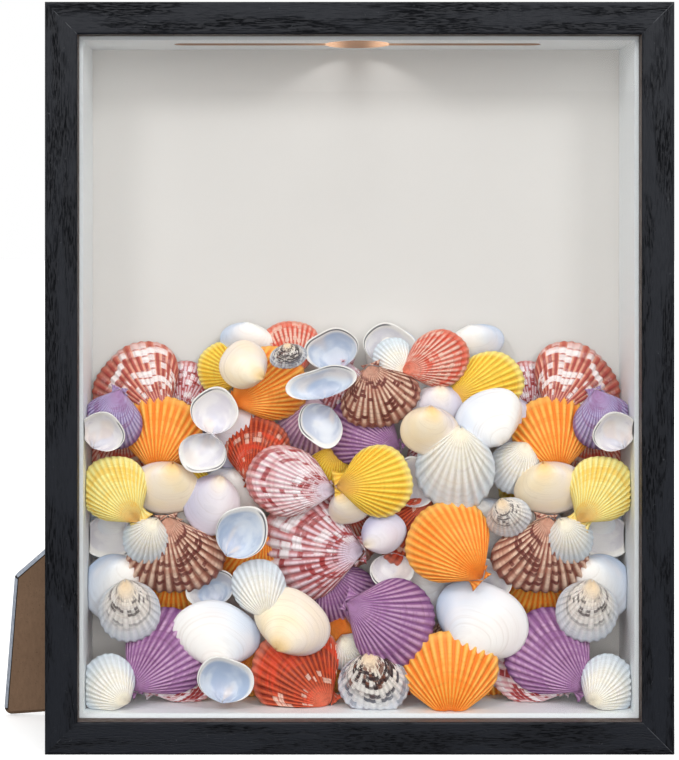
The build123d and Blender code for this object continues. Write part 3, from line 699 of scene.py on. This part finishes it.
def smooth_shell(name, body, shade, hinge, inner, blush=None):
    """A clam: porcelain-smooth, with fine concentric lines and a soft tint out from the hinge."""
    s = Shader(name)
    across, out, hue, _, inside, _ = shell_fields(s)
    seed = s.calc("MULTIPLY", hue, 53.0)
    cloud = s.grown(across, out, seed, 1.5, 2.5, 2.0, 0.5)
    lean = s.calc("MULTIPLY_ADD", across, 0.55, s.calc("MULTIPLY", out, 0.6))
    colour = s.mix(s.span(lean, 0.15, 1.0), body, shade)
    colour = s.mix(s.calc("MULTIPLY", s.span(cloud, 0.4, 0.7), 0.45), colour, hinge)
    rings = s.grown(across, out, seed, 0.6, 34.0)
    darker = s.mix(1.0, colour, srgb(226, 220, 214), blend="MULTIPLY")
    colour = s.mix(s.calc("MULTIPLY", s.span(rings, 0.5, 0.72), 0.45), colour, darker)
    if blush is not None:
        colour = s.mix(s.calc("MULTIPLY", s.span(out, 0.42, 0.02), 0.8), colour, blush)
    colour = s.mix(inside, colour, inner)
    lines = s.grown(across, out, seed, 1.0, 90.0, 2.0)
    rough = s.span(cloud, 0.3, 0.7, 0.26, 0.42)
    return s.surface(colour, rough, s.bump(lines, 0.07 * MM, 0.5), specular_ior_level=0.5)


def open_shell(name):
    """A clam seen from inside: white lip, a pale or blue-grey hollow with painted shade towards the hinge where
    it is deepest, pale outside.
    """
    s = Shader(name)
    across, out, hue, _, inside, _ = shell_fields(s)
    seed = s.calc("MULTIPLY", hue, 53.0)
    cloud = s.grown(across, out, seed, 1.6, 2.5, 3.0, 0.5)
    pale = s.mix(s.span(cloud, 0.35, 0.65), srgb(226, 222, 230), srgb(246, 243, 242))
    blue = s.mix(s.span(cloud, 0.35, 0.65), srgb(178, 194, 218), srgb(222, 229, 238))
    hollow = s.mix(s.span(hue, 0.35, 0.65), pale, blue)
    # Painted shade: the hollow turns greyer and darker towards the hinge, where it is deepest.
    hollow = s.mix(s.calc("MULTIPLY", s.span(out, 0.6, 0.15), 0.55), hollow, srgb(192, 194, 210))
    warm = s.span(s.noise(s.vector(across, out, seed), 1.2, 1.0), 0.52, 0.66)
    hollow = s.mix(s.calc("MULTIPLY", warm, 0.5), hollow, srgb(240, 222, 206))
    lip = s.span(out, 0.84, 0.93)
    hollow = s.mix(lip, hollow, srgb(250, 247, 242))
    shadow = s.calc("MULTIPLY", s.span(out, 0.925, 0.94), s.span(out, 0.975, 0.96))
    arc = s.span(s.noise(s.vector(s.calc("MULTIPLY", across, 1.1), 0.0, seed), 1.0, 1.0), 0.50, 0.58)
    hollow = s.mix(s.calc("MULTIPLY", s.calc("MULTIPLY", shadow, arc), 0.85), hollow, srgb(52, 54, 72))
    rings = s.grown(across, out, seed, 0.6, 30.0)
    outer = s.mix(s.span(rings, 0.45, 0.7), srgb(238, 236, 233), srgb(212, 206, 202))
    colour = s.mix(inside, outer, hollow)
    rough = s.span(cloud, 0.3, 0.7, 0.18, 0.36)
    return s.surface(colour, rough, s.bump(rings, 0.05 * MM, 0.4), specular_ior_level=0.5)


def build_shells():
    """All the shells, kind by kind."""
    orange = ribbed_shell(
        "shell_orange", srgb(255, 188, 84), srgb(244, 130, 24), srgb(248, 140, 34), srgb(240, 120, 20),
        srgb(252, 196, 104), srgb(248, 196, 140), band_amount=0.40, lines=0.2,
    )
    yellow = ribbed_shell(
        "shell_yellow", srgb(250, 222, 84), srgb(232, 176, 40), srgb(244, 196, 60), srgb(226, 170, 96),
        srgb(250, 240, 160), srgb(248, 242, 200), lines=0.2,
        other=(srgb(250, 240, 160), srgb(238, 210, 108), 0.84, 0.92),
    )
    purple = ribbed_shell(
        "shell_purple", srgb(202, 160, 196), srgb(134, 82, 134), srgb(154, 100, 154), srgb(172, 128, 174),
        srgb(112, 58, 120), srgb(190, 170, 204), band_amount=0.6,
        other=(srgb(200, 188, 222), srgb(156, 140, 188), 0.62, 0.80),
    )
    coral = ribbed_shell(
        "shell_coral", srgb(242, 196, 178), srgb(204, 84, 60), srgb(228, 74, 38), srgb(248, 140, 108),
        srgb(226, 140, 116), srgb(246, 208, 194), bands=6.0, band_amount=0.8, lines=0.5,
        flecks=((srgb(236, 196, 178), 13.0, 0.26),),
        other=(srgb(208, 88, 46), srgb(146, 44, 22), 0.30, 0.44),
    )
    mottled = ribbed_shell(
        "shell_mottled", srgb(248, 236, 236), srgb(222, 180, 190), srgb(216, 140, 138), srgb(222, 216, 234),
        srgb(214, 140, 132), srgb(232, 214, 222), band_amount=0.5,
        other=(srgb(240, 214, 222), srgb(188, 104, 106), 0.6, 0.8),
        flecks=((srgb(168, 54, 54), 15.0, 0.36), (srgb(250, 244, 246), 9.0, 0.30)),
    )
    brick = ribbed_shell(
        "shell_brick", srgb(178, 72, 62), srgb(232, 168, 144), srgb(160, 56, 52), srgb(206, 150, 160),
        srgb(206, 112, 88), srgb(232, 206, 204), band_amount=0.5,
        flecks=((srgb(250, 240, 238), 11.0, 0.42),),
    )
    brown = ribbed_shell(
        "shell_brown", srgb(240, 208, 184), srgb(156, 96, 80), srgb(188, 120, 98), srgb(206, 154, 132),
        srgb(160, 98, 82), srgb(232, 212, 204), bands=7.0, band_amount=0.55, lines=0.5,
        flecks=((srgb(126, 66, 58), 15.0, 0.40),),
    )
    mauve = ribbed_shell(
        "shell_mauve", srgb(214, 178, 200), srgb(166, 120, 152), srgb(154, 102, 138), srgb(222, 204, 216),
        srgb(182, 136, 158), srgb(232, 222, 222),
    )
    white_cockle = ribbed_shell(
        "shell_cockle_white", srgb(255, 253, 247), srgb(230, 224, 212), srgb(244, 236, 212),
        srgb(252, 242, 216), srgb(196, 216, 236), srgb(244, 244, 244), band_amount=0.35, lines=0.2, margin=0.55,
    )
    speckled = ribbed_shell(
        "shell_cockle_speckled", srgb(250, 245, 238), srgb(232, 226, 220), srgb(238, 228, 216),
        srgb(244, 214, 168), srgb(200, 214, 232), srgb(240, 236, 232),
        flecks=((srgb(126, 76, 56), 9.0, 0.34), (srgb(58, 40, 44), 14.0, 0.42)),
        faint=(0.45, 0.6), margin=0.6,
        specks=(srgb(62, 46, 48), 17.0, 0.40),
    )
    white = smooth_shell(
        "shell_clam_white", srgb(255, 252, 247), srgb(196, 212, 236), srgb(250, 240, 236), srgb(244, 244, 246)
    )
    cream = smooth_shell(
        "shell_clam_cream", srgb(255, 240, 212), srgb(232, 220, 220), srgb(252, 228, 178), srgb(246, 240, 232),
        blush=srgb(252, 208, 128),
    )
    lilac = smooth_shell(
        "shell_clam_lilac", srgb(246, 240, 244), srgb(190, 190, 222), srgb(232, 222, 234), srgb(232, 232, 240),
        blush=srgb(250, 232, 200),
    )
    opened = open_shell("shell_open")
    kinds = (
        ("shells_scallops_orange", "scallop", orange, "orange_shell"),
        ("shells_scallops_yellow", "winged", yellow, "yellow_shell"),
        ("shells_scallops_purple", "scallop", purple, "purple_shell"),
        ("shells_scallops_coral", "scallop", coral, "coral_shell"),
        ("shells_scallops_mottled", "scallop", mottled, "mottled_shell"),
        ("shells_scallops_brick", "scallop", brick, "mottled_shell"),
        ("shells_scallops_mauve", "scallop", mauve, "purple_shell"),
        ("shells_fans_brown", "fan", brown, "brown_shell"),
        ("shells_cockles_white", "cockle", white_cockle, "white_shell"),
        ("shells_cockles_speckled", "cockle", speckled, "white_shell", 18),
        ("shells_clams_white", "clam", white, "white_shell"),
        ("shells_clams_cream", "clam", cream, "cream_shell"),
        ("shells_clams_lilac", "clam", lilac, "lilac_shell"),
        ("shells_clams_open", "open", opened, "white_shell"),
    )
    for kind in kinds:
        shell_piece(*kind)


# ---------------------------------------------------------------- studio


def floor():
    """A plain pale floor."""
    half = 60.0
    mesh = bpy.data.meshes.new("floor")
    corners = [(-half, -half, 0), (half, -half, 0), (half, half, 0), (-half, half, 0)]
    mesh.from_pydata(corners, [], [(0, 1, 2, 3)])
    piece = bpy.data.objects.new("floor", mesh)
    bpy.context.scene.collection.objects.link(piece)
    s = Shader("floor_white")
    cloud = s.noise(s.place(), 3.0, 3.0)
    colour = s.mix(cloud, srgb(246, 246, 246), srgb(250, 250, 249))
    glow = s.mix(cloud, srgb(248, 248, 248), srgb(252, 252, 252))
    look = s.surface(colour, 0.7, specular_ior_level=0.1, emission_color=glow, emission_strength=0.35)
    mesh.materials.append(look)
    piece.visible_glossy = False
    piece.visible_diffuse = False


def area_light(name, place, aim, width, height, power):
    """A soft rectangular lamp that points at a place."""
    light = bpy.data.lights.new(name, "AREA")
    light.shape = "RECTANGLE"
    light.size, light.size_y = width, height
    light.energy = power
    lamp = bpy.data.objects.new(name, light)
    bpy.context.scene.collection.objects.link(lamp)
    lamp.location = place
    lamp.rotation_euler = (Vector(aim) - Vector(place)).to_track_quat("-Z", "Y").to_euler()
    return lamp


def studio_world():
    """White surroundings to look at, lit as by a broad ceiling: brighter above than below."""
    world = bpy.data.worlds.new("studio")
    world.use_nodes = True
    nodes, links = world.node_tree.nodes, world.node_tree.links
    nodes.clear()
    place = nodes.new("ShaderNodeTexCoord")
    split = nodes.new("ShaderNodeSeparateXYZ")
    links.new(place.outputs["Generated"], split.inputs[0])
    rise = nodes.new("ShaderNodeMapRange")
    for key, value in (("From Min", -0.32), ("From Max", 0.42), ("To Min", 0.10), ("To Max", 1.0)):
        rise.inputs[key].default_value = value
    links.new(split.outputs["Z"], rise.inputs["Value"])
    lit = nodes.new("ShaderNodeBackground")
    links.new(rise.outputs["Result"], lit.inputs["Strength"])
    seen = nodes.new("ShaderNodeBackground")
    seen.inputs["Color"].default_value = (1.0, 1.0, 1.0, 1.0)
    lit.inputs["Color"].default_value = (1.0, 1.0, 1.0, 1.0)
    path = nodes.new("ShaderNodeLightPath")
    mixed = nodes.new("ShaderNodeMixShader")
    out = nodes.new("ShaderNodeOutputWorld")
    links.new(path.outputs["Is Camera Ray"], mixed.inputs[0])
    links.new(lit.outputs[0], mixed.inputs[1])
    links.new(seen.outputs[0], mixed.inputs[2])
    links.new(mixed.outputs[0], out.inputs[0])
    bpy.context.scene.world = world


def studio():
    """Soft lamps, and the spill of light through the hole in the top."""
    scene = bpy.context.scene
    studio_world()
    scene.view_settings.view_transform = "Standard"
    middle = (0.0, 0.0, TOP / 2)
    for side in (-1, 1):
        area_light(f"key_{side}", (0.62 * side, -1.05, 0.85), middle, 0.3, 0.3, 3.6)
        spot = bpy.data.lights.new(f"hole_spill_{side}", "SPOT")
        spot.energy = 0.010
        spot.spot_size = math.radians(124)
        spot.spot_blend = 1.0
        spot.shadow_soft_size = 1.5 * MM
        lamp = bpy.data.objects.new(f"hole_spill_{side}", spot)
        scene.collection.objects.link(lamp)
        lamp.location = (0.003 * side, OPENING_Y, CAVITY_TOP + 6.8 * MM)
        aim = Vector((0.045 * side, CARD_FRONT, 0.238))
        lamp.rotation_euler = (aim - lamp.location).to_track_quat("-Z", "Y").to_euler()
    area_light("fill", (0.0, -1.5, 0.62), middle, 1.4, 0.5, 4.3)
    front_fill = area_light("front_fill", (0.0, -0.95, 0.10), (0.0, 0.0, 0.07), 0.35, 0.35, 2.0)
    front_fill.visible_glossy = False
    area_light("back_fill", (0.5, 1.5, 0.9), middle, 1.0, 0.8, 5.0)


def camera():
    """A level view from in front, a little left of centre, with the frame shifted into the picture."""
    data = bpy.data.cameras.new("camera")
    data.sensor_width = 36.0
    data.sensor_fit = "AUTO"
    data.lens = 87.1
    data.shift_x = 0.065
    data.shift_y = -0.1645
    data.clip_start = 0.01
    seen = bpy.data.objects.new("camera", data)
    bpy.context.scene.collection.objects.link(seen)
    seen.location = (VIEW_X, FRONT - VIEW_DISTANCE, VIEW_HEIGHT)
    seen.rotation_euler = (math.radians(90), 0.0, 0.0)
    bpy.context.scene.camera = seen


camera()
studio()
floor()
dress_frame()
build_shells()
